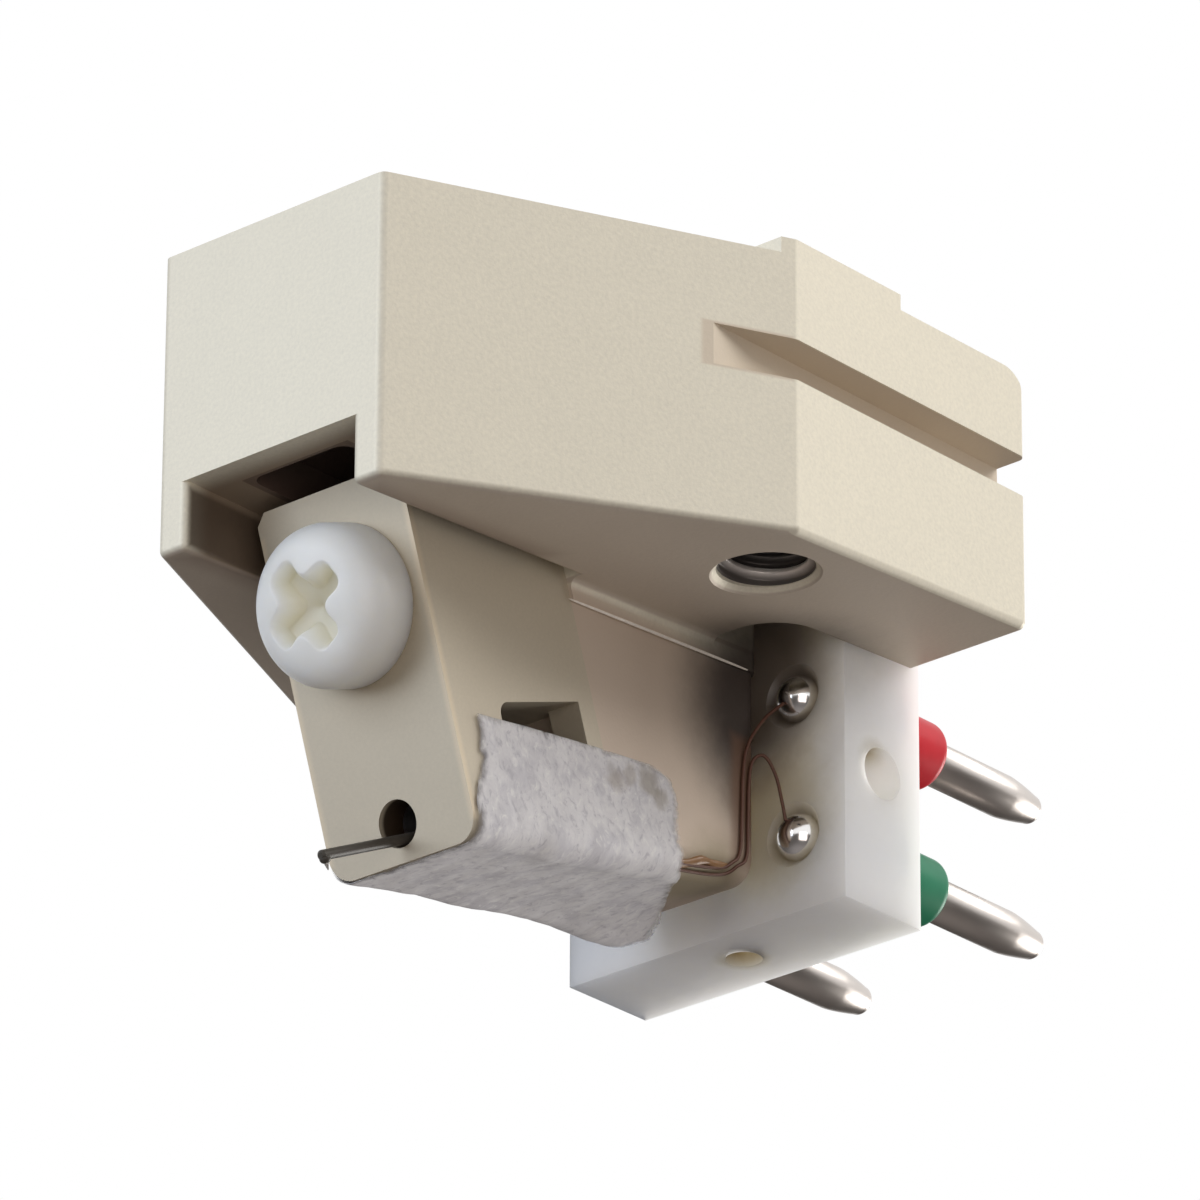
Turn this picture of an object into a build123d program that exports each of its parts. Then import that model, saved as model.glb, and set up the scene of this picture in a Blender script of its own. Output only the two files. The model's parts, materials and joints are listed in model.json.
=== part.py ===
"""A moving-coil phono cartridge, in millimetres.

+Z is up and the stylus end faces -Y. The origin lies midway between the two fixing holes, on the
contact bar that meets the headshell, so depths are measured down from there. Everything that leans
with the cantilever is placed with two lengths: u, rearwards along the magnet axis from the front
plate, and v, down the face of that plate from its top edge.
"""
import os
from math import cos, radians, sin, tan

from build123d import *

os.makedirs("parts", exist_ok=True)

# Fixing holes, tapped through the body on the standard spacing
hole_spacing = 12.7
hole_diameter = 2.6
hole_chamfer = 0.17

# Body in plan: a narrow front face that widens to a shoulder, then parallel sides
front_y = -12.0
shoulder_y = -1.5
rear_y = 7.86
front_width = 7.6
rear_width = 17.4
corner_radius = 0.25

# Body in height: a raised contact bar on top and an underside that rises to the rear
bar_front_y = -1.9
bar_rear_y = 2.7
bar_height = 0.45
front_depth = 9.0
underside_rise = 3.3
rear_top_radius = 0.9
lower_edge_radius = 0.2

# Grooves along both sides for the stylus guard
groove_top = 2.88
groove_height = 1.16
groove_depth = 1.0

# Slot under the front, open to the front face, where the carrier hangs
slot_width = 5.78
slot_ceiling = 7.08
pocket_front_y = -10.93
pocket_width = 3.3
pocket_height = 1.2
pocket_corner = 0.4

# Leaning front plate of the carrier
lean = 19.0
plate_top_y = -9.85
plate_top_depth = 7.455
plate_width = 4.94
plate_corner = 0.7
plate_top_chamfer = 0.3

# Axis of the moving system, with the carrier's belly below it and the window's top above it
axis_drop = 8.84
belly_below_axis = 1.01
window_above_axis = 2.51
plate_length = axis_drop + belly_below_axis
window_top = axis_drop - window_above_axis

# The rest of the carrier: front leg, side window and rear posts
carrier_length = 5.78
leg_thickness = 1.95
post_thickness = 0.6
post_opening = 2.9
window_radius = 0.35
belly_rise = 11.7

# Pedestal of the body, behind the carrier
pedestal_rear_y = 4.16
pedestal_corner = 0.35
pedestal_root = 0.5
pedestal_fillet = 0.25
land_height = 0.55
land_width = 0.1

# Nylon screw through the carrier
screw_drop = 3.1
screw_diameter = 2.4
screw_head_diameter = 4.25
screw_head_side = 1.5
screw_head_height = 2.02
screw_rim_radius = 0.95
screw_length = 8.4
screw_clearance = 0.1
recess_span = 2.54
recess_width = 0.88
recess_round = 0.28
recess_depth = 0.95
recess_taper = 8.0
recess_turn = -29.0

# Magnets on the axis of the moving system, the rear one reaching forwards between the posts
plate_bore = 1.25
front_magnet_width = 2.6
front_magnet_height = 2.1
front_magnet_length = 1.0
front_magnet_seat = 1.0
rear_magnet_diameter = 2.4
rear_magnet_reach = 1.45
rear_magnet_length = 5.0

# Suspension: the wire, the tube that grips it and the damping ring
holder_diameter = 0.9
holder_length = 6.35
holder_setback = 0.35
wire_diameter = 0.1
wire_grip = 2.0
wire_socket = 0.3
damper_diameter = 1.7
damper_bore = 0.4
damper_length = 1.0

# Moving system, which droops further than the magnet axis while no record lifts it
pivot_setback = 0.55
droop = 6.3
former_offset = 0.79
former_length = 0.6
arm_reach = 1.25
arm_width = 0.5
hub_diameter = 0.8
hub_length = 0.2
winding_inner = 0.5
winding_outer = 1.15
winding_thickness = 0.15
cantilever_diameter = 0.28
cantilever_end = 7.09
cantilever_socket = 0.4
cantilever_bevel = 0.06
stylus_offset = 6.94
stylus_diameter = 0.12
stylus_drop = 0.4
stylus_cone = 0.16
stylus_tip_radius = 0.012

# Tissue strip round the window
wrap_thickness = 0.06
wrap_gap = 0.02
wrap_corner = 0.42
wrap_front_lap = 0.9
wrap_front_drop = 0.33
wrap_rear_lap = 0.73
wrap_rear_drop = 1.28
wrap_tail = 2.9
wrap_skew = 1.4
wrap_toe = 0.2
wrap_toe_height = 1.0

# Terminal block in its recess
block_width = 9.55
block_front_y = 5.0
block_rear_y = 8.06
block_depth = 15.26
recess_ceiling = 6.4
recess_front_y = 2.3
recess_corner = 1.4
side_hole_diameter = 1.45
side_hole_depth = 1.2
side_hole_drop = 11.3
bottom_hole_diameter = 1.0
bottom_hole_depth = 1.5

# Signal pins and their coloured collars
pin_spacing = 6.0
upper_pin_depth = 9.07
lower_pin_depth = 13.03
pin_diameter = 1.2
pin_end_y = 15.12
pin_nose_length = 1.5
pin_nose_diameter = 0.82
pin_nose_taper = 1.15
pin_end_round = 0.3
shank_diameter = 0.86
dome_diameter = 1.3
dome_sink = 0.3
dome_sink_diameter = 1.8
sink_angle = 82.0
collar_diameter = 1.94
collar_length = 2.38
collar_round = 0.3

# Copper leads from the coils to the pins
lead_diameter = 0.09
lead_spread = 14.0
lead_bend = 0.14
lead_start_x = 1.45
lead_start_back = 1.28
lead_start_drop = 0.71
lead_step = 0.15
lead_turn = 1.06
lead_lift = 0.86
lead_stand_off = 0.045
lead_loop_rise = 1.65
lead_loop_side = 0.25
lead_tip = 0.25

# Room between pieces that are pushed or glued into each other
fit = 0.02


def leaning(u, v):
    """The Y and Z of a point u behind the front plate and v below its top edge."""
    y = plate_top_y + u * cos(radians(lean)) + v * sin(radians(lean))
    z = -plate_top_depth + u * sin(radians(lean)) - v * cos(radians(lean))
    return y, z


def belly_drop(u):
    """How far below the plate's top the carrier's bottom face lies, at u."""
    return plate_length + u * tan(radians(lean - belly_rise))


def belly_z(y):
    """The height of the bottom face of carrier and pedestal at a given Y."""
    front, low = leaning(0, plate_length)
    return low + (y - front) * tan(radians(belly_rise))


def joint_y(z):
    """The Y of the leaning joint between carrier and pedestal at a given height."""
    rise = z + plate_top_depth
    return plate_top_y + (carrier_length - rise * sin(radians(lean))) / cos(radians(lean))


def underside_z(y):
    """The height of the body's sloping underside at a given Y."""
    return -front_depth + (y - front_y) * tan(radians(underside_rise))


def across_axis(u, v):
    """A plane square to the magnet axis, at u and v, that looks rearwards."""
    y, z = leaning(u, v)
    along = (0, cos(radians(lean)), sin(radians(lean)))
    return Plane(origin=(0, y, z), x_dir=(1, 0, 0), z_dir=along)


# Side view of everything that leans: local x is u, local y is minus v
side_view = Plane(
    origin=(0, plate_top_y, -plate_top_depth),
    x_dir=(0, cos(radians(lean)), sin(radians(lean))),
    z_dir=(1, 0, 0),
)

# The moving system's own frame: the pivot on the wire, looking forwards along the cantilever
magnet_face_u = carrier_length - rear_magnet_reach
pivot_u = magnet_face_u - pivot_setback
pivot_y, pivot_z = leaning(pivot_u, axis_drop)
forwards = (0, -cos(radians(lean + droop)), -sin(radians(lean + droop)))
moving = Plane(origin=(0, pivot_y, pivot_z), x_dir=(1, 0, 0), z_dir=forwards)

half_plate = plate_width / 2


root_z = -recess_ceiling + pedestal_root


def pedestal_outline():
    """The pedestal's outline seen from the side."""
    Polyline(
        (joint_y(root_z), root_z),
        leaning(carrier_length, belly_drop(carrier_length)),
        (pedestal_rear_y, belly_z(pedestal_rear_y)),
        (pedestal_rear_y, root_z),
        close=True,
    )


# Pedestal, which is machined in one piece with the body
with BuildPart() as pedestal:
    with BuildSketch(Plane.YZ):
        with BuildLine():
            pedestal_outline()
        make_face()
    extrude(amount=half_plate, both=True)
    belly_edges = pedestal.faces().sort_by(Axis.Z)[0].edges().filter_by(Axis.X, reverse=True)
    fillet(belly_edges, plate_corner)
    fillet(pedestal.faces().sort_by(Axis.Y)[-1].edges().filter_by(Axis.Z), pedestal_corner)

# Low land round the pedestal's root, which ends in a fine ledge parallel to the underside
with BuildPart() as land:
    with BuildSketch(Plane.YZ):
        with BuildLine():
            pedestal_outline()
        make_face()
        with BuildLine():
            Polyline(
                (front_y, underside_z(front_y) - land_height),
                (rear_y, underside_z(rear_y) - land_height),
                (rear_y, root_z),
                (front_y, root_z),
                close=True,
            )
        make_face(mode=Mode.INTERSECT)
    extrude(amount=half_plate + land_width, both=True)
    fillet(land.faces().sort_by(Axis.Y)[-1].edges().filter_by(Axis.Z), pedestal_corner)


def body_outline():
    """The body's outline in plan."""
    Polyline(
        (-front_width / 2, front_y),
        (front_width / 2, front_y),
        (rear_width / 2, shoulder_y),
        (rear_width / 2, rear_y),
        (-rear_width / 2, rear_y),
        (-rear_width / 2, shoulder_y),
        close=True,
    )


with BuildPart() as body:
    # Tapered block up to the level beside the contact bar
    with BuildSketch(Plane.XY.offset(-bar_height)) as plan:
        with BuildLine():
            body_outline()
        make_face()
        fillet(plan.vertices(), corner_radius)
    extrude(amount=bar_height - front_depth)

    # Rounded upper rear edge
    with BuildSketch(Plane.YZ):
        with Locations((rear_y, -bar_height)):
            Rectangle(rear_top_radius, rear_top_radius, align=(Align.MAX, Align.MAX))
        with Locations((rear_y - rear_top_radius, -bar_height - rear_top_radius)):
            Circle(rear_top_radius, mode=Mode.SUBTRACT)
    extrude(amount=rear_width, both=True, mode=Mode.SUBTRACT)

    # Underside that rises to the rear
    with BuildSketch(Plane.YZ):
        with BuildLine():
            Polyline(
                (front_y, -front_depth),
                (rear_y, underside_z(rear_y)),
                (rear_y, -front_depth - bar_height),
                (front_y, -front_depth - bar_height),
                close=True,
            )
        make_face()
    extrude(amount=rear_width, both=True, mode=Mode.SUBTRACT)
    fillet(body.faces().sort_by(Axis.Z)[0].edges(), lower_edge_radius)

    # Contact bar across the top
    with BuildSketch(Plane.XY.offset(-bar_height)) as bar:
        with BuildLine():
            body_outline()
        make_face()
        fillet(bar.vertices(), corner_radius)
        with Locations((0, (bar_front_y + bar_rear_y) / 2)):
            Rectangle(rear_width, bar_rear_y - bar_front_y, mode=Mode.INTERSECT)
    extrude(amount=bar_height)

    # Recess for the terminal block, with milled round corners at its front
    with BuildSketch(Plane.XY.offset(-recess_ceiling)) as recess:
        with Locations((0, (recess_front_y + rear_y) / 2)):
            Rectangle(block_width + 2 * fit, rear_y - recess_front_y)
        fillet(recess.vertices().group_by(Axis.Y)[0], recess_corner)
    extrude(amount=recess_ceiling - front_depth, mode=Mode.SUBTRACT)

    add(pedestal.part)
    add(land.part)

    # Slot for the carrier, which ends at the leaning face of the pedestal
    with BuildSketch(Plane.YZ):
        with BuildLine():
            Polyline(
                (front_y, -slot_ceiling),
                (joint_y(-slot_ceiling), -slot_ceiling),
                (joint_y(-front_depth), -front_depth),
                (front_y, -front_depth),
                close=True,
            )
        make_face()
    extrude(amount=slot_width / 2, both=True, mode=Mode.SUBTRACT)

    # Rounded lower lips of the slot
    slot_lips = body.edges().filter_by(
        lambda edge: abs(abs(edge.center().X) - slot_width / 2) < fit
        and abs(edge.center().Z - underside_z(edge.center().Y)) < fit
    )
    fillet(slot_lips, lower_edge_radius)

    # Pocket in the slot's ceiling, over the top of the carrier
    pocket_rear_y = joint_y(-slot_ceiling)
    with BuildSketch(Plane.XY.offset(-slot_ceiling)) as pocket:
        with Locations((0, (pocket_front_y + pocket_rear_y) / 2)):
            Rectangle(pocket_width, pocket_rear_y - pocket_front_y)
        fillet(pocket.vertices(), pocket_corner)
    extrude(amount=pocket_height, mode=Mode.SUBTRACT)

    # Small fillet where the land's sides meet the underside
    root_edges = body.edges().filter_by(
        lambda edge: abs(abs(edge.center().X) - half_plate - land_width) < fit
        and abs(edge.center().Z - underside_z(edge.center().Y)) < fit
        and edge.center().Y < recess_front_y
    )
    fillet(root_edges, pedestal_fillet)

    # Guard grooves in both sides
    with BuildSketch(Plane.XY.offset(-groove_top)):
        with Locations((0, (front_y + rear_y) / 2)):
            Rectangle(rear_width, rear_y - front_y)
            Rectangle(rear_width - 2 * groove_depth, rear_y - front_y, mode=Mode.SUBTRACT)
    extrude(amount=-groove_height, mode=Mode.SUBTRACT)

    # Fixing holes, countersunk at both mouths
    with GridLocations(hole_spacing, 1, 2, 1):
        Hole(hole_diameter / 2)
    rings = body.edges().filter_by(
        lambda edge: edge.geom_type in (GeomType.CIRCLE, GeomType.ELLIPSE)
        and abs(abs(edge.arc_center.X) - hole_spacing / 2) < fit
        and abs(edge.arc_center.Y) < fit
    )
    mouths = rings.group_by(Axis.Z)[0] + rings.group_by(Axis.Z)[-1]
    hole_wall = (rear_width - hole_spacing - hole_diameter) / 2
    chamfer(mouths, min(hole_chamfer, hole_wall / 4))

    # Tapped hole for the nylon screw
    with Locations(across_axis(carrier_length, screw_drop)):
        Cylinder(
            screw_diameter / 2 + fit,
            screw_length - carrier_length + fit,
            align=(Align.CENTER, Align.CENTER, Align.MIN),
            mode=Mode.SUBTRACT,
        )

    # Bores for the rear magnet and for the tube behind it
    with Locations(across_axis(carrier_length, axis_drop)):
        Cylinder(
            rear_magnet_diameter / 2 + fit,
            rear_magnet_length - rear_magnet_reach + fit,
            align=(Align.CENTER, Align.CENTER, Align.MIN),
            mode=Mode.SUBTRACT,
        )
        Cylinder(
            holder_diameter / 2 + fit,
            pedestal_rear_y - front_y,
            align=(Align.CENTER, Align.CENTER, Align.MIN),
            mode=Mode.SUBTRACT,
        )
body.part.label = "body"
export_step(body.part, "parts/body.step")


with BuildPart() as front_carrier:
    # Side profile between the front plate, the belly, the joint and a level top
    with BuildSketch(side_view):
        with BuildLine():
            Polyline(
                (0, 0),
                (0, -plate_length),
                (carrier_length, -belly_drop(carrier_length)),
                (carrier_length, -carrier_length * tan(radians(lean))),
                close=True,
            )
        make_face()
    extrude(amount=half_plate, both=True)
    carrier_belly = front_carrier.faces().sort_by(Axis.Z)[0].edges().filter_by(Axis.X, reverse=True)
    fillet(carrier_belly, plate_corner)
    carrier_top = front_carrier.faces().sort_by(Axis.Z)[-1].edges().filter_by(Axis.X, reverse=True)
    chamfer(carrier_top, plate_top_chamfer)

    # Window through both sides, open below, with a rounded front corner
    window_length = carrier_length - leg_thickness - post_thickness
    window_height = belly_drop(carrier_length) - window_top
    with BuildSketch(side_view) as window:
        with Locations((leg_thickness, -window_top)):
            Rectangle(window_length, window_height, align=(Align.MIN, Align.MAX))
        fillet(window.vertices().group_by(Axis.Y)[-1].sort_by(Axis.X)[0], window_radius)
    extrude(amount=half_plate, both=True, mode=Mode.SUBTRACT)

    # Opening between the rear posts, through which the suspension reaches the coils
    with BuildSketch(across_axis(carrier_length - post_thickness, window_top)):
        Rectangle(post_opening, window_height, align=(Align.CENTER, Align.MIN))
    extrude(amount=post_thickness, mode=Mode.SUBTRACT)

    # Seat for the front magnet, open to the rear and below
    with BuildSketch(across_axis(leg_thickness, axis_drop - front_magnet_height / 2 - fit)):
        Rectangle(front_magnet_width + 2 * fit, window_height, align=(Align.CENTER, Align.MIN))
    extrude(amount=-front_magnet_seat, mode=Mode.SUBTRACT)

    # Bore for the cantilever and clearance hole for the screw
    with Locations(across_axis(0, axis_drop)):
        Cylinder(
            plate_bore / 2,
            leg_thickness,
            align=(Align.CENTER, Align.CENTER, Align.MIN),
            mode=Mode.SUBTRACT,
        )
    with Locations(across_axis(0, screw_drop)):
        Cylinder(
            screw_diameter / 2 + screw_clearance,
            carrier_length,
            align=(Align.CENTER, Align.CENTER, Align.MIN),
            mode=Mode.SUBTRACT,
        )
front_carrier.part.label = "front_carrier"
export_step(front_carrier.part, "parts/front_carrier.step")


with BuildPart() as carrier_screw:
    # Pan head and shank, turned about the screw's own axis
    screw_side = Plane(
        origin=across_axis(0, screw_drop).origin, x_dir=side_view.x_dir, z_dir=side_view.z_dir
    )
    with BuildSketch(screw_side) as turned:
        with BuildLine():
            crown = (-screw_head_height, 0)
            rim = (-screw_head_side, screw_head_diameter / 2)
            TangentArc(crown, rim, tangent=(0, 1))
            Polyline(
                rim,
                (0, screw_head_diameter / 2),
                (0, screw_diameter / 2),
                (screw_length, screw_diameter / 2),
                (screw_length, 0),
                crown,
            )
        make_face()
        fillet(turned.vertices().sort_by(Axis.X)[1], screw_rim_radius)
    revolve(axis=Axis(screw_side.origin, screw_side.x_dir))

    # Cross recess, narrowing downwards
    for bar_turn in (recess_turn, recess_turn + 90):
        with BuildSketch(across_axis(-screw_head_height, screw_drop)):
            RectangleRounded(recess_span, recess_width, recess_round, rotation=bar_turn)
        extrude(amount=recess_depth, taper=recess_taper, mode=Mode.SUBTRACT)
carrier_screw.part.label = "carrier_screw"
export_step(carrier_screw.part, "parts/carrier_screw.step")


with BuildPart() as front_magnet:
    with BuildSketch(across_axis(leg_thickness - front_magnet_seat, axis_drop)):
        Rectangle(front_magnet_width, front_magnet_height)
        Circle(plate_bore / 2, mode=Mode.SUBTRACT)
    extrude(amount=front_magnet_length)
front_magnet.part.label = "front_magnet"
export_step(front_magnet.part, "parts/front_magnet.step")


with BuildPart() as rear_magnet:
    with BuildSketch(across_axis(magnet_face_u, axis_drop)):
        Circle(rear_magnet_diameter / 2)
        Circle(holder_diameter / 2 + fit, mode=Mode.SUBTRACT)
    extrude(amount=rear_magnet_length)
rear_magnet.part.label = "rear_magnet"
export_step(rear_magnet.part, "parts/rear_magnet.step")


with BuildPart() as wire_holder:
    with BuildSketch(across_axis(magnet_face_u + holder_setback, axis_drop)):
        Circle(holder_diameter / 2)
        Circle(wire_diameter / 2 + fit / 2, mode=Mode.SUBTRACT)
    extrude(amount=holder_length)
wire_holder.part.label = "wire_holder"
export_step(wire_holder.part, "parts/wire_holder.step")


with BuildPart() as suspension_wire:
    # Straight from the grip to the pivot, then along the drooping cantilever into the former
    wire_end = magnet_face_u + holder_setback + wire_grip
    with BuildSketch(across_axis(pivot_u, axis_drop)):
        Circle(wire_diameter / 2)
    extrude(amount=wire_end - pivot_u)
    with BuildSketch(moving):
        Circle(wire_diameter / 2)
    extrude(amount=former_offset + wire_socket)
    with Locations(moving):
        Sphere(wire_diameter / 2)
suspension_wire.part.label = "suspension_wire"
export_step(suspension_wire.part, "parts/suspension_wire.step")


with BuildPart() as damper:
    with BuildSketch(across_axis(magnet_face_u, axis_drop)):
        Circle(damper_diameter / 2)
        Circle(damper_bore / 2, mode=Mode.SUBTRACT)
    extrude(amount=-damper_length)
damper.part.label = "damper"
export_step(damper.part, "parts/damper.step")


with BuildPart() as coil_former:
    # Cross of four arms at 45 degrees, one pair for each channel
    with BuildSketch(moving.offset(former_offset)):
        Rectangle(2 * arm_reach, arm_width, rotation=45)
        Rectangle(2 * arm_reach, arm_width, rotation=-45)
    extrude(amount=former_length)
    with BuildSketch(moving.offset(former_offset - hub_length)):
        Circle(hub_diameter / 2)
    extrude(amount=hub_length + former_length)

    # Bores for the wire behind and the cantilever in front
    with BuildSketch(moving.offset(former_offset - hub_length)):
        Circle(wire_diameter / 2 + fit / 2)
    extrude(amount=hub_length + former_length, mode=Mode.SUBTRACT)
    with BuildSketch(moving.offset(former_offset + former_length)):
        Circle(cantilever_diameter / 2 + fit / 2)
    extrude(amount=-cantilever_socket, mode=Mode.SUBTRACT)
coil_former.part.label = "coil_former"
export_step(coil_former.part, "parts/coil_former.step")


# One winding on each arm: the right channel on one diagonal, the left on the other
for coil_name, arm_turn in (
    ("right_coil_upper", 45),
    ("left_coil_upper", 135),
    ("right_coil_lower", 225),
    ("left_coil_lower", 315),
):
    with BuildPart() as coil:
        arm_middle = moving.offset(former_offset + former_length / 2)
        outward = moving.x_dir * cos(radians(arm_turn)) + moving.y_dir * sin(radians(arm_turn))
        wound = Plane(origin=arm_middle.origin, x_dir=arm_middle.z_dir, z_dir=outward)
        with BuildSketch(wound.offset(winding_inner)) as turns:
            RectangleRounded(
                former_length + 2 * fit + 2 * winding_thickness,
                arm_width + 2 * fit + 2 * winding_thickness,
                winding_thickness,
            )
            Rectangle(former_length + 2 * fit, arm_width + 2 * fit, mode=Mode.SUBTRACT)
        extrude(amount=winding_outer - winding_inner)
    coil.part.label = coil_name
    export_step(coil.part, f"parts/{coil_name}.step")


with BuildPart() as cantilever:
    rod_start = former_offset + former_length - cantilever_socket
    with BuildSketch(moving.offset(rod_start)):
        Circle(cantilever_diameter / 2)
    extrude(amount=cantilever_end - rod_start)
    chamfer(cantilever.edges().sort_by(Axis.Z)[0], cantilever_bevel)

    # Hole across the tip for the stylus
    stylus_axis = Plane(
        origin=moving.from_local_coords((0, 0, stylus_offset)),
        x_dir=moving.x_dir,
        z_dir=-moving.y_dir,
    )
    with Locations(stylus_axis):
        Cylinder(stylus_diameter / 2 + fit / 2, 2 * cantilever_diameter, mode=Mode.SUBTRACT)
cantilever.part.label = "cantilever"
export_step(cantilever.part, "parts/cantilever.step")


with BuildPart() as stylus:
    # Shank through the cantilever, ground to a fine cone below
    with BuildSketch(stylus_axis.offset(-cantilever_diameter / 2)):
        Circle(stylus_diameter / 2)
    extrude(amount=cantilever_diameter / 2 + stylus_drop - stylus_cone)
    with Locations(stylus_axis.offset(stylus_drop - stylus_cone)):
        Cone(
            stylus_diameter / 2,
            stylus_tip_radius,
            stylus_cone,
            align=(Align.CENTER, Align.CENTER, Align.MIN),
        )
stylus.part.label = "stylus"
export_step(stylus.part, "parts/stylus.step")


def under_belly(u, distance):
    """The side view's height of a line that far below the belly, at u."""
    return -belly_drop(u) - distance / cos(radians(lean - belly_rise))


with BuildPart() as wrap_inside:
    # The room that carrier, pedestal and leads take up inside the tissue
    with BuildSketch(side_view):
        with BuildLine():
            Polyline(
                (-carrier_length, 0),
                (-carrier_length, under_belly(-carrier_length, wrap_gap)),
                (3 * carrier_length, under_belly(3 * carrier_length, wrap_gap)),
                (3 * carrier_length, 0),
                close=True,
            )
        make_face()
    extrude(amount=half_plate + wrap_gap, both=True)
    inside_belly = wrap_inside.faces().sort_by(Axis.Z)[0].edges().filter_by(Axis.X, reverse=True)
    fillet(inside_belly, wrap_corner)


with BuildPart() as dust_wrap:
    # A strip that covers most of the window and laps under the belly, cut askew at its rear
    window_rear = carrier_length - post_thickness
    wrap_skin = wrap_gap + wrap_thickness
    for wrap_side, wrap_heel in (
        (1, window_rear + wrap_tail),
        (-1, window_rear + wrap_tail + wrap_skew),
    ):
        with BuildSketch(side_view.offset(wrap_side * (half_plate + wrap_skin))):
            with BuildLine():
                Polyline(
                    (leg_thickness - wrap_front_lap, -window_top - wrap_front_drop),
                    (window_rear + wrap_rear_lap, -window_top - wrap_rear_drop),
                    (wrap_heel, under_belly(wrap_heel, wrap_skin)),
                    (wrap_toe, under_belly(wrap_toe, wrap_skin)),
                    (wrap_toe, under_belly(wrap_toe, -wrap_toe_height)),
                    close=True,
                )
            make_face()
    loft(ruled=True)
    wrap_belly = dust_wrap.faces().sort_by(Axis.Z)[0].edges().filter_by(Axis.X, reverse=True)
    fillet(wrap_belly, wrap_corner + wrap_thickness)
    add(wrap_inside.part, mode=Mode.SUBTRACT)
dust_wrap.part.label = "dust_wrap"
export_step(dust_wrap.part, "parts/dust_wrap.step")


block_middle_y = (block_front_y + block_rear_y) / 2

with BuildPart() as terminal_block:
    with BuildSketch(Plane.XY.offset(-block_depth)):
        with Locations((0, block_middle_y)):
            Rectangle(block_width, block_rear_y - block_front_y)
    extrude(amount=block_depth - recess_ceiling - fit)

    # Pin holes, sunk at the front for the domed ends
    block_face = Plane(origin=(0, block_front_y, 0), x_dir=(1, 0, 0), z_dir=(0, -1, 0))
    with Locations(block_face):
        with Locations(
            (pin_spacing / 2, -upper_pin_depth),
            (pin_spacing / 2, -lower_pin_depth),
            (-pin_spacing / 2, -upper_pin_depth),
            (-pin_spacing / 2, -lower_pin_depth),
        ):
            CounterSinkHole(
                shank_diameter / 2 + fit, dome_sink_diameter / 2, counter_sink_angle=sink_angle
            )

    # Blind holes in both sides and underneath
    right_side = Plane(origin=(block_width / 2, block_middle_y, -side_hole_drop), z_dir=(1, 0, 0))
    left_side = Plane(origin=(-block_width / 2, block_middle_y, -side_hole_drop), z_dir=(-1, 0, 0))
    with Locations(right_side, left_side):
        Hole(side_hole_diameter / 2, side_hole_depth)
    with Locations(Plane(origin=(0, block_middle_y, -block_depth), z_dir=(0, 0, -1))):
        Hole(bottom_hole_diameter / 2, bottom_hole_depth)
terminal_block.part.label = "terminal_block"
export_step(terminal_block.part, "parts/terminal_block.step")


def lead_corner(y, angle, stand_off):
    """A point round the rounded lower corner of the pedestal, at a distance from its surface."""
    reach = plate_corner + fit + lead_diameter / 2 + stand_off
    x = half_plate - plate_corner + reach * cos(radians(angle))
    z = belly_z(y) + (plate_corner - reach * sin(radians(angle))) / cos(radians(belly_rise))
    return x, y, z


# Each lead runs round the lower corner of the pedestal and out to the domed end of its pin
near_angle = 45 - lead_spread / 2
far_angle = 45 + lead_spread / 2
dome_y = block_front_y + dome_sink
lead_end_y = dome_y - dome_diameter / 2 - lead_diameter / 2 + fit / 2
lead_start_u = carrier_length - lead_start_back
lead_belly_y, _ = leaning(lead_start_u, plate_length)
lead_routes = {
    "upper": [
        (lead_start_x, *leaning(lead_start_u, axis_drop + lead_start_drop)),
        lead_corner(lead_belly_y, near_angle, 0),
        lead_corner(pedestal_rear_y - lead_turn, near_angle, 0),
        lead_corner(pedestal_rear_y - lead_lift, 8, lead_stand_off),
        (pin_spacing / 2, lead_end_y, -upper_pin_depth - lead_tip),
    ],
    "lower": [
        (lead_start_x - lead_step, *leaning(lead_start_u, axis_drop + lead_start_drop + 2 * lead_step)),
        lead_corner(lead_belly_y, far_angle, 0),
        lead_corner(pedestal_rear_y - lead_turn + lead_step, far_angle, 0),
        lead_corner(pedestal_rear_y - lead_lift + lead_step, 20, lead_stand_off + fit / 2),
        (pin_spacing / 2 - lead_loop_side, lead_end_y - lead_loop_side, -lower_pin_depth + lead_loop_rise),
        (pin_spacing / 2, lead_end_y, -lower_pin_depth + lead_tip),
    ],
}

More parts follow.
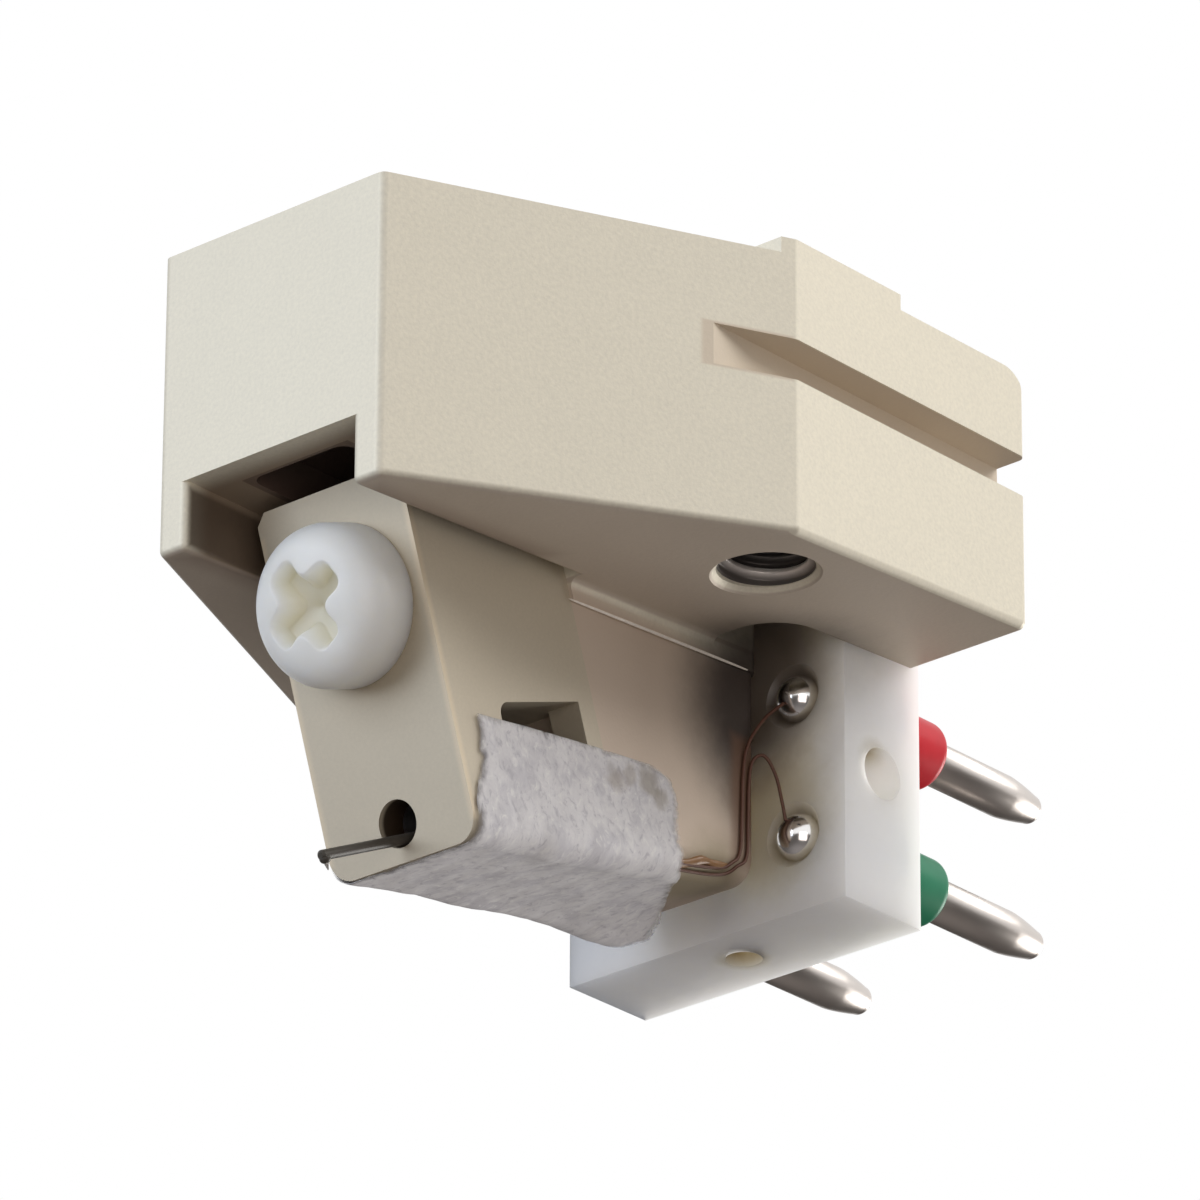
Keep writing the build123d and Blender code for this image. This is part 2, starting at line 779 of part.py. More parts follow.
for side_name, side in (("right", 1), ("left", -1)):
    for row_name, pin_depth in (("upper", upper_pin_depth), ("lower", lower_pin_depth)):
        pin_x = side * pin_spacing / 2
        pin_section = Plane(origin=(pin_x, 0, -pin_depth))
        pin_axis = Axis((pin_x, 0, -pin_depth), (0, 1, 0))
        pin_radius = pin_diameter / 2
        shank_radius = shank_diameter / 2
        collar_end_y = block_rear_y + collar_length

        with BuildPart() as pin:
            # Domed solder end, thin shank through block and collar, and a plug with a bullet nose
            dome_radius = dome_diameter / 2
            dome_back_y = dome_y + (dome_radius - shank_radius) / tan(radians(sink_angle / 2))
            with BuildSketch(pin_section):
                with BuildLine():
                    TangentArc((0, dome_y - dome_radius), (dome_radius, dome_y), tangent=(1, 0))
                    Polyline(
                        (dome_radius, dome_y),
                        (shank_radius, dome_back_y),
                        (shank_radius, collar_end_y),
                        (pin_radius, collar_end_y),
                        (pin_radius, pin_end_y - pin_nose_length),
                        (pin_nose_diameter / 2, pin_end_y - pin_nose_length + pin_nose_taper),
                        (pin_nose_diameter / 2, pin_end_y - pin_end_round),
                    )
                    TangentArc(
                        (0, pin_end_y),
                        (pin_nose_diameter / 2, pin_end_y - pin_end_round),
                        tangent=(1, 0),
                    )
                    Line((0, pin_end_y), (0, dome_y - dome_radius))
                make_face()
            revolve(axis=pin_axis)
        pin.part.label = f"{side_name}_{row_name}_pin"
        export_step(pin.part, f"parts/{pin.part.label}.step")

        with BuildPart() as collar:
            with BuildSketch(Plane(origin=(pin_x, block_rear_y, -pin_depth), z_dir=(0, 1, 0))):
                Circle(collar_diameter / 2)
                Circle(shank_radius + fit, mode=Mode.SUBTRACT)
            extrude(amount=collar_length)
            rear_rim = collar.edges().filter_by(GeomType.CIRCLE).group_by(Axis.Y)[-1].sort_by(SortBy.RADIUS)[-1]
            fillet(rear_rim, collar_round)
        collar.part.label = f"{side_name}_{row_name}_collar"
        export_step(collar.part, f"parts/{collar.part.label}.step")

        with BuildPart() as lead:
            with BuildLine() as route:
                FilletPolyline(
                    *[(side * x, y, z) for x, y, z in lead_routes[row_name]], radius=lead_bend
                )
            with BuildSketch(Plane(origin=route.line @ 0, z_dir=route.line % 0)):
                Circle(lead_diameter / 2)
            sweep()
        lead.part.label = f"{side_name}_{row_name}_lead"
        export_step(lead.part, f"parts/{lead.part.label}.step")
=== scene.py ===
"""A moving-coil phono cartridge in a plain white studio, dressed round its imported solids.

Lengths in the shape functions are millimetres in the part's own frame: +Z up, the stylus end
towards -Y, and the origin on the contact bar between the two fixing holes.
"""
import json

import bmesh
import bpy
import numpy as np
from mathutils import Matrix, Vector


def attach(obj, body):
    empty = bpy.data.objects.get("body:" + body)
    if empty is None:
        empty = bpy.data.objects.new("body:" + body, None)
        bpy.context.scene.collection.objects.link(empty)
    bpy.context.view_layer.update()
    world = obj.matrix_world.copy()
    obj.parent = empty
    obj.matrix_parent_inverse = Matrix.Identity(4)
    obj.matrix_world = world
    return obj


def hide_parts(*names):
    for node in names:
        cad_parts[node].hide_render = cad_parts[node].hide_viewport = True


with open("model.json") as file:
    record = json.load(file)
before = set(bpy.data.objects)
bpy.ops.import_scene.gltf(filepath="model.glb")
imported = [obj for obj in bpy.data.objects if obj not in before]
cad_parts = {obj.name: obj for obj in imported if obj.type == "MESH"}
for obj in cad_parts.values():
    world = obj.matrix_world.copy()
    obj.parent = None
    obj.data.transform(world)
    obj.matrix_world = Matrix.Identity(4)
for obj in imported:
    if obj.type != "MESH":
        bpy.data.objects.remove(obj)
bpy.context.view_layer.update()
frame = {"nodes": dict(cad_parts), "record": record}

MM = 0.001

# Sizes that the dressed pieces share with the solids
LEAN = np.radians(19.0)
PLATE_TOP = np.array([0.0, -9.85, -7.455])
REARWARDS = np.array([0.0, np.cos(LEAN), np.sin(LEAN)])
DOWN_PLATE = np.array([0.0, np.sin(LEAN), -np.cos(LEAN)])
SIDEWAYS = np.array([1.0, 0.0, 0.0])
PLATE_LENGTH = 9.85
PLATE_WIDTH = 4.94
BELLY_RISE = np.radians(11.7)
BELLY_FRONT = PLATE_TOP + DOWN_PLATE * PLATE_LENGTH
ALONG_BELLY = np.array([0.0, np.cos(BELLY_RISE), np.sin(BELLY_RISE)])
OFF_BELLY = np.array([0.0, np.sin(BELLY_RISE), -np.cos(BELLY_RISE)])
CORNER_X = 1.77
CORNER_RISE = 0.715
HOLE_SIDE = 6.35
PIN_SIDE = 3.0
PIN_DEPTHS = {"upper": -9.07, "lower": -13.03}


def smooth_step(value, low, high):
    """0 below low, 1 above high, and 3s^2 - 2s^3 of the fraction s between them."""
    s = np.clip((value - low) / (high - low), 0.0, 1.0)
    return s * s * (3.0 - 2.0 * s)


def grid_quads(rows, columns, columns_meet=False):
    """Corner numbers of the quads of a grid of points, the last column joined to the first on request."""
    number = np.arange(rows * columns).reshape(rows, columns)
    if columns_meet:
        number = np.concatenate([number, number[:, :1]], axis=1)
    corners = (number[:-1, :-1], number[:-1, 1:], number[1:, 1:], number[1:, :-1])
    return np.stack(corners, axis=-1).reshape(-1, 4)


def make_piece(
    name, points, material, body, columns_meet=False, surface_place=None, values=None
):
    """A smooth-shaded mesh piece from a grid of points in millimetres, with its poles closed."""
    rows, columns = points.shape[:2]
    quads = grid_quads(rows, columns, columns_meet)
    mesh = bpy.data.meshes.new(name)
    mesh.from_pydata(points.reshape(-1, 3) * MM, [], quads)
    if surface_place is not None:
        layer = mesh.uv_layers.new(name="surface_place")
        layer.data.foreach_set("uv", surface_place.reshape(-1, 2)[quads.ravel()].ravel())
    for label, value in (values or {}).items():
        mesh.attributes.new(label, "FLOAT", "POINT").data.foreach_set("value", value.ravel())
    shell = bmesh.new()
    shell.from_mesh(mesh)
    bmesh.ops.remove_doubles(shell, verts=shell.verts, dist=2e-7)
    shell.to_mesh(mesh)
    shell.free()
    mesh.polygons.foreach_set("use_smooth", np.ones(len(mesh.polygons), dtype=bool))
    mesh.materials.append(material)
    piece = bpy.data.objects.new(name, mesh)
    bpy.context.scene.collection.objects.link(piece)
    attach(piece, body)
    return piece


def nylon_screw_surface():
    """A meridian turned round the screw's axis, with a broad cross pressed into its crown.

    The meridian is a crown arc, a large rim arc tangent to it and to the side, a short straight
    side, a small foot arc, the flat under the head, and the shank. On the crown and rim each point
    sinks by the recess depth times a smooth step of its signed distance to the cross. The cross is
    the smooth union of two round-cornered bars, so its inner corners are rounded, and it gets
    shallower outwards. The share of the full depth is returned as well, for painted shade in the recess.
    """
    head_radius = 2.125
    corner_height = 1.5
    crown_height = 2.02
    rim_radius = 0.95
    foot_radius = 0.12
    shank_radius = 1.2
    shank_length = 8.4
    crown_rise = crown_height - corner_height
    crown_radius = (head_radius**2 + crown_rise**2) / (2 * crown_rise)
    crown_centre = crown_height - crown_radius
    rim_r0 = head_radius - rim_radius
    rim_h0 = crown_centre + np.sqrt((crown_radius - rim_radius) ** 2 - rim_r0**2)
    crown_end = rim_r0 * crown_radius / (crown_radius - rim_radius)
    crown_r = np.linspace(0.0, crown_end, 96)
    crown_h = crown_centre + np.sqrt(crown_radius**2 - crown_r**2)
    rim_turn = np.linspace(np.arcsin(crown_end / crown_radius), np.pi / 2, 28)[1:]
    rim_r = rim_r0 + rim_radius * np.sin(rim_turn)
    rim_h = rim_h0 + rim_radius * np.cos(rim_turn)
    foot_turn = np.linspace(0.0, np.pi / 2, 8)
    foot_r = head_radius - foot_radius + foot_radius * np.cos(foot_turn)
    foot_h = foot_radius - foot_radius * np.sin(foot_turn)
    shank_r = np.array([shank_radius, shank_radius, shank_radius - 0.3, 0.0])
    shank_h = np.array([0.0, 0.3 - shank_length, -shank_length, -shank_length])
    meridian_r = np.concatenate([crown_r, rim_r, foot_r, shank_r])
    meridian_h = np.concatenate([crown_h, rim_h, foot_h, shank_h])

    turn = np.linspace(0.0, 2 * np.pi, 240, endpoint=False)
    side = meridian_r[:, None] * np.cos(turn)
    drop = meridian_r[:, None] * np.sin(turn)
    height = np.repeat(meridian_h[:, None], len(turn), axis=1)

    recess_depth = 0.95
    recess_turn = np.radians(-29.0)
    along = side * np.cos(recess_turn) + drop * np.sin(recess_turn)
    across = drop * np.cos(recess_turn) - side * np.sin(recess_turn)
    bar_half = np.array([1.27, 0.44])
    corner = 0.28

    def bar_distance(first, second):
        """Signed distance to a round-cornered bar that lies along the first direction."""
        beyond_first = np.abs(first) - bar_half[0] + corner
        beyond_second = np.abs(second) - bar_half[1] + corner
        outside = np.hypot(np.maximum(beyond_first, 0.0), np.maximum(beyond_second, 0.0))
        inside = np.minimum(np.maximum(beyond_first, beyond_second), 0.0)
        return outside + inside - corner

    one_bar = bar_distance(along, across)
    other_bar = bar_distance(across, along)
    blend = 0.35
    share = np.clip(0.5 + 0.5 * (other_bar - one_bar) / blend, 0.0, 1.0)
    cross_distance = other_bar + (one_bar - other_bar) * share - blend * share * (1.0 - share)
    shallower = 1.0 - 0.5 * np.clip(meridian_r[:, None] / bar_half[0], 0.0, 1.0)
    on_top = (np.arange(len(meridian_r)) < len(crown_r) + len(rim_r))[:, None]
    sunk = on_top * shallower * smooth_step(-cross_distance, -0.06, 0.24)
    height = height - recess_depth * sunk

    screw_drop = 3.1
    centre = PLATE_TOP + DOWN_PLATE * screw_drop
    points = centre + side[..., None] * SIDEWAYS + drop[..., None] * DOWN_PLATE
    return points - height[..., None] * REARWARDS, sunk


def hole_thread_surface(side):
    """A screw thread as a tube whose radius is a wave along the helix.

    The radius at an angle and a height is the bore radius less the thread depth times a rounded
    wave of the phase (height / pitch - angle / full turn). Towards both mouths the wave fades into
    the plain bore. The share of the depth is returned as well, for painted shade in the roots.
    """
    pitch = 0.45
    crest_radius = 1.09
    bore_radius = 1.296
    low = -8.04
    high = -0.2
    turn = np.linspace(2 * np.pi, 0.0, 96, endpoint=False)
    level = np.linspace(0.0, 1.0, 260)[:, None]
    height = low + (high - low) * level + 0.0 * turn
    phase = height / pitch - turn / (2 * np.pi)
    wave = 0.5 - 0.5 * np.cos(2 * np.pi * phase)
    crest = smooth_step(wave, 0.1, 0.9)
    crest = crest * smooth_step(height, low, low + 0.25) * (1.0 - smooth_step(height, -0.5, high))
    radius = bore_radius + (crest_radius - bore_radius) * crest
    x = side * HOLE_SIDE + radius * np.cos(turn)
    y = radius * np.sin(turn)
    return np.stack([x, y, height], axis=-1), 1.0 - crest


def turned_surface(radius, place, x, z, steps=72):
    """A profile of radii along +Y turned round the line at x and z."""
    turn = np.linspace(2 * np.pi, 0.0, steps, endpoint=False)
    radius = np.asarray(radius)[:, None]
    place = np.asarray(place)[:, None] + 0.0 * turn
    return np.stack([x + radius * np.cos(turn), place, z + radius * np.sin(turn)], axis=-1)


def signal_pin_surface(x, z):
    """A turned pin: domed solder end, seat cone, thin shank, plug, and a long tapered nose.

    The dome is a half circle. Along the nose the radius shrinks by the share of the way to the power
    of 1.4, so the taper starts softly, and the nose ends in a quarter ellipse.
    """
    plug_radius = 0.6
    shank_radius = 0.43
    dome_radius = 0.65
    nose_radius = 0.41
    dome_place = 5.3
    shoulder = 10.44
    cone_start = 13.62
    end_start = 14.82
    end = 15.12
    dome_turn = np.linspace(0.0, np.pi / 2, 24)
    dome_r = dome_radius * np.sin(dome_turn)
    dome_y = dome_place - dome_radius * np.cos(dome_turn)
    shank_r = np.array([shank_radius, shank_radius, plug_radius - 0.04, plug_radius])
    shank_y = np.array([dome_place + 0.25, shoulder, shoulder, shoulder + 0.04])
    share = np.linspace(0.0, 1.0, 24)
    cone_y = cone_start + (end_start - cone_start) * share
    cone_r = plug_radius + (nose_radius - plug_radius) * share**1.4
    end_turn = np.linspace(0.0, np.pi / 2, 20)[1:]
    end_r = nose_radius * np.cos(end_turn)
    end_y = end_start + (end - end_start) * np.sin(end_turn)
    radius = np.concatenate([dome_r, shank_r, cone_r, end_r])
    place = np.concatenate([dome_y, shank_y, cone_y, end_y])
    return turned_surface(radius, place, x, z)


def collar_surface(x, z):
    """A turned ring with a small front rounding and a large rear one, as quarter circles."""
    inner = 0.452
    outer = 0.97
    front = 8.07
    rear = 10.43
    small = 0.1
    large = 0.32
    quarter = np.linspace(0.0, np.pi / 2, 12)
    front_r = outer - small + small * np.sin(quarter)
    front_y = front + small - small * np.cos(quarter)
    rear_r = outer - large + large * np.cos(quarter)
    rear_y = rear - large + large * np.sin(quarter)
    radius = np.concatenate([[inner], front_r, rear_r, [inner], [inner]])
    place = np.concatenate([[front], front_y, rear_y, [rear], [front]])
    return turned_surface(radius, place, x, z)


def ledge_edge_surface(side):
    """The pedestal ledge's edge, coloured light as a painted highlight: a thin round carried along the
    underside's slope.
    """
    radius = 0.045
    rise = np.tan(np.radians(3.3))
    body_front = -12.0
    body_low = -9.0
    ledge_drop = 0.535
    along = np.linspace(0.0, 1.0, 60)[:, None]
    turn = np.linspace(0.0, 2 * np.pi, 16, endpoint=False)[None, :]
    slim = radius * np.sqrt(np.clip(np.sin(np.pi * along), 0.0, 1.0)) ** 0.5
    y = -3.4 + 7.2 * along + 0.0 * turn
    x = side * (PLATE_WIDTH / 2 + 0.085 + slim * np.cos(turn))
    z = body_low + (y - body_front) * rise - ledge_drop + side * slim * np.sin(turn)
    return np.stack([x, y, z], axis=-1)


def tip_glue_surface():
    """A small drop where the stylus is set into the rod: an ellipsoid by latitude and longitude."""
    round_radius = 0.15
    low_radius = 0.13
    droop = np.radians(25.3)
    forwards = np.array([0.0, -np.cos(droop), -np.sin(droop)])
    down = np.array([0.0, np.sin(droop), -np.cos(droop)])
    centre = np.array([0.0, -3.398, -14.583]) + 6.94 * forwards + 0.1 * down
    latitude = np.linspace(0.0, np.pi, 24)[:, None]
    longitude = np.linspace(0.0, 2 * np.pi, 32, endpoint=False)[None, :]
    side = round_radius * np.sin(latitude) * np.cos(longitude)
    front = round_radius * np.sin(latitude) * np.sin(longitude)
    low = -low_radius * np.cos(latitude) + 0.0 * longitude
    points = centre + side[..., None] * SIDEWAYS + front[..., None] * forwards
    return points + low[..., None] * down


def tissue_surface():
    """A strip of tissue folded round the carrier: a U-shaped section carried from front to rear.

    The first parameter runs along the strip from its front edge to its rear edge, the second round
    the U: down the near side, round a corner, across the belly, round the far corner and up the far
    side. The section is straight runs joined by quarter turns, and its front and rear ends are
    broken lines in the run round the U, longest under the belly. Sines shift the edges and lift
    the sheet, which sags at its far rear corner.
    """
    half_width = PLATE_WIDTH / 2 + 0.03
    fold_radius = 0.62
    side_height = 3.3
    along = np.linspace(0.0, 1.0, 150)[:, None]
    straight = side_height - fold_radius
    quarter = fold_radius * np.pi / 2
    floor_run = 2 * (half_width - fold_radius)
    total = 2 * straight + 2 * quarter + floor_run
    run = np.linspace(0.0, total, 220)[None, :]

    first_turn = np.clip((run - straight) / fold_radius, 0.0, np.pi / 2)
    floor_done = np.clip(run - straight - quarter, 0.0, floor_run)
    second_turn = np.clip((run - straight - quarter - floor_run) / fold_radius, 0.0, np.pi / 2)
    climb = np.clip(run - straight - 2 * quarter - floor_run, 0.0, straight)
    side = half_width - fold_radius * (1.0 - np.cos(first_turn)) - floor_done
    side = side - fold_radius * np.sin(second_turn)
    below = np.clip(run, 0.0, straight) - side_height + fold_radius * np.sin(first_turn)
    below = below - fold_radius * (1.0 - np.cos(second_turn)) - climb

    near_fold = straight + quarter / 2
    far_fold = total - near_fold
    ragged = 0.02 * np.sin(6.1 * run) + 0.012 * np.sin(17.0 * run + 1.0) + 0.008 * np.sin(41.0 * run)
    front_runs = [0.0, 1.24, 2.3, near_fold, far_fold, total - 2.3, total - 1.24, total]
    front = np.interp(run, front_runs, [0.48, 0.40, 0.06, 0.05, 0.05, 0.06, 0.40, 0.48]) + 0.3 * ragged
    near_runs = [0.0, 0.25, 0.9, near_fold, near_fold + 3.0]
    far_runs = [far_fold - 0.9, far_fold + 0.5, total - 0.9, total]
    rear_places = [7.45, 7.85, 8.1, 7.97, 10.75, 11.2, 10.2, 8.1, 7.45]
    rear = np.interp(run, near_runs + far_runs, rear_places) + ragged
    place = front + (rear - front) * along

    rise = 1.0 - 0.12 * along - 0.06 * along**2
    below = below * rise
    far = smooth_step(run, 0.45 * total, 0.66 * total)
    rear_part = smooth_step(along, 0.55, 0.85)
    ripple = 0.012 * np.sin(2.1 * place + 1.3 * run) + 0.008 * np.sin(4.7 * place - 2.9 * run)
    over_leads = np.exp(-(((run - near_fold) / 0.75) ** 2)) + np.exp(-(((run - far_fold) / 0.75) ** 2))
    over_leads = over_leads * smooth_step(along, 0.25, 0.42)
    lift = 0.02 + np.abs(ripple) + 0.13 * far * rear_part + 0.13 * over_leads
    sag = 0.32 * smooth_step(along, 0.72, 1.0) * smooth_step(run, 0.5 * total, 0.66 * total)
    sag = sag * (1.0 - 0.8 * smooth_step(run, 0.7 * total, 0.85 * total))
    turned = first_turn + second_turn
    side = side + lift * np.cos(turned)
    below = below + lift * np.sin(turned) + sag

    points = BELLY_FRONT + side[..., None] * SIDEWAYS + place[..., None] * ALONG_BELLY
    points = points + below[..., None] * OFF_BELLY
    surface_place = np.stack([run + 0.0 * along, place], axis=-1)
    to_ends = np.minimum(place - front, rear - place)
    to_tops = np.minimum(run, total - run)
    edge_distance = np.minimum(to_ends, to_tops + 0.12)
    return points, surface_place, edge_distance


def belly_height(y):
    """Height of the sloping belly at a place along the part."""
    return BELLY_FRONT[2] + (y - BELLY_FRONT[1]) * np.tan(BELLY_RISE)


def glue_bead_surface():
    """A flat oval carried along the pedestal's near lower edge, swelling and tapering to both ends."""
    along = np.linspace(0.0, 1.0, 80)[:, None]
    turn = np.linspace(0.0, 2 * np.pi, 32, endpoint=False)[None, :]
    y = 0.9 + 2.2 * along
    swell = np.sqrt(np.clip(np.sin(np.pi * along), 0.0, 1.0))
    swell = swell * (0.75 + 0.2 * np.sin(7.0 * along + 0.6) + 0.1 * np.sin(17.0 * along))
    bearing = np.radians(38.0 - 14.0 * along + 5.0 * np.sin(9.0 * along))
    wide = 0.2 * swell * np.cos(turn)
    thick = 0.13 * swell * np.sin(turn)
    reach = 0.7 + 0.02 + thick
    x = CORNER_X + reach * np.cos(bearing) + wide * np.sin(bearing)
    z = belly_height(y) + CORNER_RISE - reach * np.sin(bearing) + wide * np.cos(bearing)
    return np.stack([x, y + 0.0 * turn, z], axis=-1)


def pedestal_corner(y, bearing):
    """A place for a lead on the pedestal's near lower corner, at an angle in degrees below level."""
    reach = 0.765
    x = CORNER_X + reach * np.cos(np.radians(bearing))
    return x, y, belly_height(y) + CORNER_RISE - reach * np.sin(np.radians(bearing))


LEAD_STOPS = {
    "upper": [
        (1.45, -2.49, -15.02),
        pedestal_corner(-2.0, 38.0),
        pedestal_corner(0.5, 38.0),
        pedestal_corner(2.6, 36.0),
        pedestal_corner(3.15, 20.0),
        (2.527, 3.42, -13.9),
        (2.525, 3.5, -12.8),
        (2.525, 3.55, -11.7),
        (2.56, 3.7, -10.8),
        (2.74, 4.15, -9.95),
        (2.95, 4.69, -9.37),
    ],
    "lower": [
        (1.3, -2.39, -15.3),
        pedestal_corner(-2.0, 52.0),
        pedestal_corner(0.5, 52.0),
        pedestal_corner(2.8, 50.0),
        pedestal_corner(3.4, 25.0),
        (2.527, 3.68, -13.95),
        (2.525, 3.74, -12.9),
        (2.525, 3.78, -11.9),
        (2.57, 3.88, -11.2),
        (2.74, 4.15, -11.0),
        (2.9, 4.42, -11.5),
        (2.97, 4.6, -12.25),
        (2.98, 4.72, -12.72),
    ],
}


def lead_surface(stops, side):
    """A round wire carried along a smooth curve through its stops.

    Between two stops the curve is the cubic that leaves each with half the step between its two
    neighbours. The wire's circle stands square to the curve, and a point closes each end.
    """
    radius = 0.047
    stops = np.array(stops) * np.array([side, 1.0, 1.0])
    count = len(stops)
    run = np.linspace(0.0, count - 1.0, 24 * count)
    start = np.minimum(run.astype(int), count - 2)
    s = (run - start)[:, None]
    before = stops[np.maximum(start - 1, 0)]
    here = stops[start]
    there = stops[start + 1]
    after = stops[np.minimum(start + 2, count - 1)]
    cubic = 3.0 * (here - there) + after - before
    square = 2.0 * before - 5.0 * here + 4.0 * there - after
    line = here + 0.5 * s * (there - before + s * (square + s * cubic))
    ahead = np.gradient(line, axis=0)
    ahead = ahead / np.linalg.norm(ahead, axis=1, keepdims=True)
    one = np.cross(ahead, np.array([0.7 * side, -0.7, 0.0]))
    one = one / np.linalg.norm(one, axis=1, keepdims=True)
    other = np.cross(ahead, one)
    ends = np.concatenate([[0], np.arange(len(line)), [len(line) - 1]])
    thick = np.full(len(ends), radius)
    thick[[0, -1]] = 0.0
    turn = np.linspace(0.0, 2 * np.pi, 16, endpoint=False)
    circle = np.cos(turn)[:, None] * one[ends][:, None] + np.sin(turn)[:, None] * other[ends][:, None]
    return line[ends][:, None] + thick[:, None, None] * circle


def node_group(name, inputs, outputs):
    """A shader node group with named sockets; each input is (name, kind, value)."""
    group = bpy.data.node_groups.new(name, "ShaderNodeTree")
    for label, kind, value in inputs:
        socket = group.interface.new_socket(label, in_out="INPUT", socket_type=kind)
        if value is not None:
            socket.default_value = value
    for label, kind in outputs:
        group.interface.new_socket(label, in_out="OUTPUT", socket_type=kind)
    return group, group.nodes.new("NodeGroupInput"), group.nodes.new("NodeGroupOutput")


def add_node(tree, kind, settings=None, values=None, links=None):
    """A node of that kind with its settings, its input values and its incoming links."""
    node = tree.nodes.new(kind)
    for key, value in (settings or {}).items():
        setattr(node, key, value)
    for key, value in (values or {}).items():
        node.inputs[key].default_value = value
    for key, source in (links or {}).items():
        tree.links.new(source, node.inputs[key])
    return node


def grain_group():
    """Fine grain and broad mottling: one noise at the grain's size and one fourteen times broader."""
    inputs = [
        ("Place", "NodeSocketVector", None),
        ("Grains per metre", "NodeSocketFloat", 9000.0),
        ("Mottle", "NodeSocketFloat", 0.08),
    ]
    outputs = [("Tone", "NodeSocketFloat"), ("Height", "NodeSocketFloat")]
    group, given, result = node_group("surface_grain", inputs, outputs)
    fine = add_node(
        group,
        "ShaderNodeTexNoise",
        values={"Detail": 2.0, "Roughness": 0.6},
        links={"Vector": given.outputs["Place"], "Scale": given.outputs["Grains per metre"]},
    )
    broader = add_node(
        group,
        "ShaderNodeMath",
        {"operation": "MULTIPLY"},
        {1: 0.07},
        {0: given.outputs["Grains per metre"]},
    )
    broad = add_node(
        group,
        "ShaderNodeTexNoise",
        values={"Detail": 3.0, "Roughness": 0.55},
        links={"Vector": given.outputs["Place"], "Scale": broader.outputs[0]},
    )
    both = add_node(
        group,
        "ShaderNodeMath",
        {"operation": "MULTIPLY_ADD"},
        {1: 0.3},
        {0: broad.outputs["Fac"], 2: fine.outputs["Fac"]},
    )
    centred = add_node(group, "ShaderNodeMath", {"operation": "SUBTRACT"}, {1: 0.65}, {0: both.outputs[0]})
    tone = add_node(
        group,
        "ShaderNodeMath",
        {"operation": "MULTIPLY_ADD"},
        {2: 1.0},
        {0: centred.outputs[0], 1: given.outputs["Mottle"]},
    )
    group.links.new(tone.outputs[0], result.inputs["Tone"])
    group.links.new(fine.outputs["Fac"], result.inputs["Height"])
    return group


def patch_group():
    """A ragged round patch: 1 within its radius, fading to 0 outside, with noise in the distance."""
    inputs = [
        ("Place", "NodeSocketVector", None),
        ("Centre", "NodeSocketVector", None),
        ("Radius", "NodeSocketFloat", 0.001),
        ("Ragged", "NodeSocketFloat", 0.5),
    ]
    group, given, result = node_group("ragged_patch", inputs, [("Mask", "NodeSocketFloat")])
    away = add_node(
        group,
        "ShaderNodeVectorMath",
        {"operation": "DISTANCE"},
        links={0: given.outputs["Place"], 1: given.outputs["Centre"]},
    )
    share = add_node(
        group,
        "ShaderNodeMath",
        {"operation": "DIVIDE"},
        links={0: away.outputs["Value"], 1: given.outputs["Radius"]},
    )
    noise = add_node(
        group,
        "ShaderNodeTexNoise",
        values={"Scale": 1700.0, "Detail": 4.0, "Roughness": 0.6},
        links={"Vector": given.outputs["Place"]},
    )
    centred = add_node(
        group, "ShaderNodeMath", {"operation": "SUBTRACT"}, {1: 0.5}, {0: noise.outputs["Fac"]}
    )
    shifted = add_node(
        group,
        "ShaderNodeMath",
        {"operation": "MULTIPLY_ADD"},
        links={0: centred.outputs[0], 1: given.outputs["Ragged"], 2: share.outputs[0]},
    )
    mask = add_node(
        group,
        "ShaderNodeMapRange",
        {"interpolation_type": "SMOOTHSTEP"},
        {"From Min": 1.25, "From Max": 0.45},
        {"Value": shifted.outputs[0]},
    )
    group.links.new(mask.outputs["Result"], result.inputs["Mask"])
    return group


def boxed_group():
    """1 inside a box, 0 beyond a soft border: a step of the largest distance past its faces."""
    inputs = [
        ("Place", "NodeSocketVector", None),
        ("Centre", "NodeSocketVector", None),
        ("Half size", "NodeSocketVector", None),
        ("Border", "NodeSocketFloat", 0.0003),
    ]
    group, given, result = node_group("boxed_shade", inputs, [("Mask", "NodeSocketFloat")])
    offset = add_node(
        group,
        "ShaderNodeVectorMath",
        {"operation": "SUBTRACT"},
        links={0: given.outputs["Place"], 1: given.outputs["Centre"]},
    )
    size = add_node(group, "ShaderNodeVectorMath", {"operation": "ABSOLUTE"}, links={0: offset.outputs[0]})
    beyond = add_node(
        group,
        "ShaderNodeVectorMath",
        {"operation": "SUBTRACT"},
        links={0: size.outputs[0], 1: given.outputs["Half size"]},
    )
    faces = add_node(group, "ShaderNodeSeparateXYZ", links={0: beyond.outputs[0]})
    first = add_node(
        group, "ShaderNodeMath", {"operation": "MAXIMUM"}, links={0: faces.outputs[0], 1: faces.outputs[1]}
    )
    furthest = add_node(
        group, "ShaderNodeMath", {"operation": "MAXIMUM"}, links={0: first.outputs[0], 1: faces.outputs[2]}
    )
    mask = add_node(
        group,
        "ShaderNodeMapRange",
        {"interpolation_type": "SMOOTHSTEP"},
        {"From Max": 0.0},
        {"Value": furthest.outputs[0], "From Min": given.outputs["Border"]},
    )
    group.links.new(mask.outputs["Result"], result.inputs["Mask"])
    return group


SURFACE_GRAIN = grain_group()
RAGGED_PATCH = patch_group()
BOXED_SHADE = boxed_group()


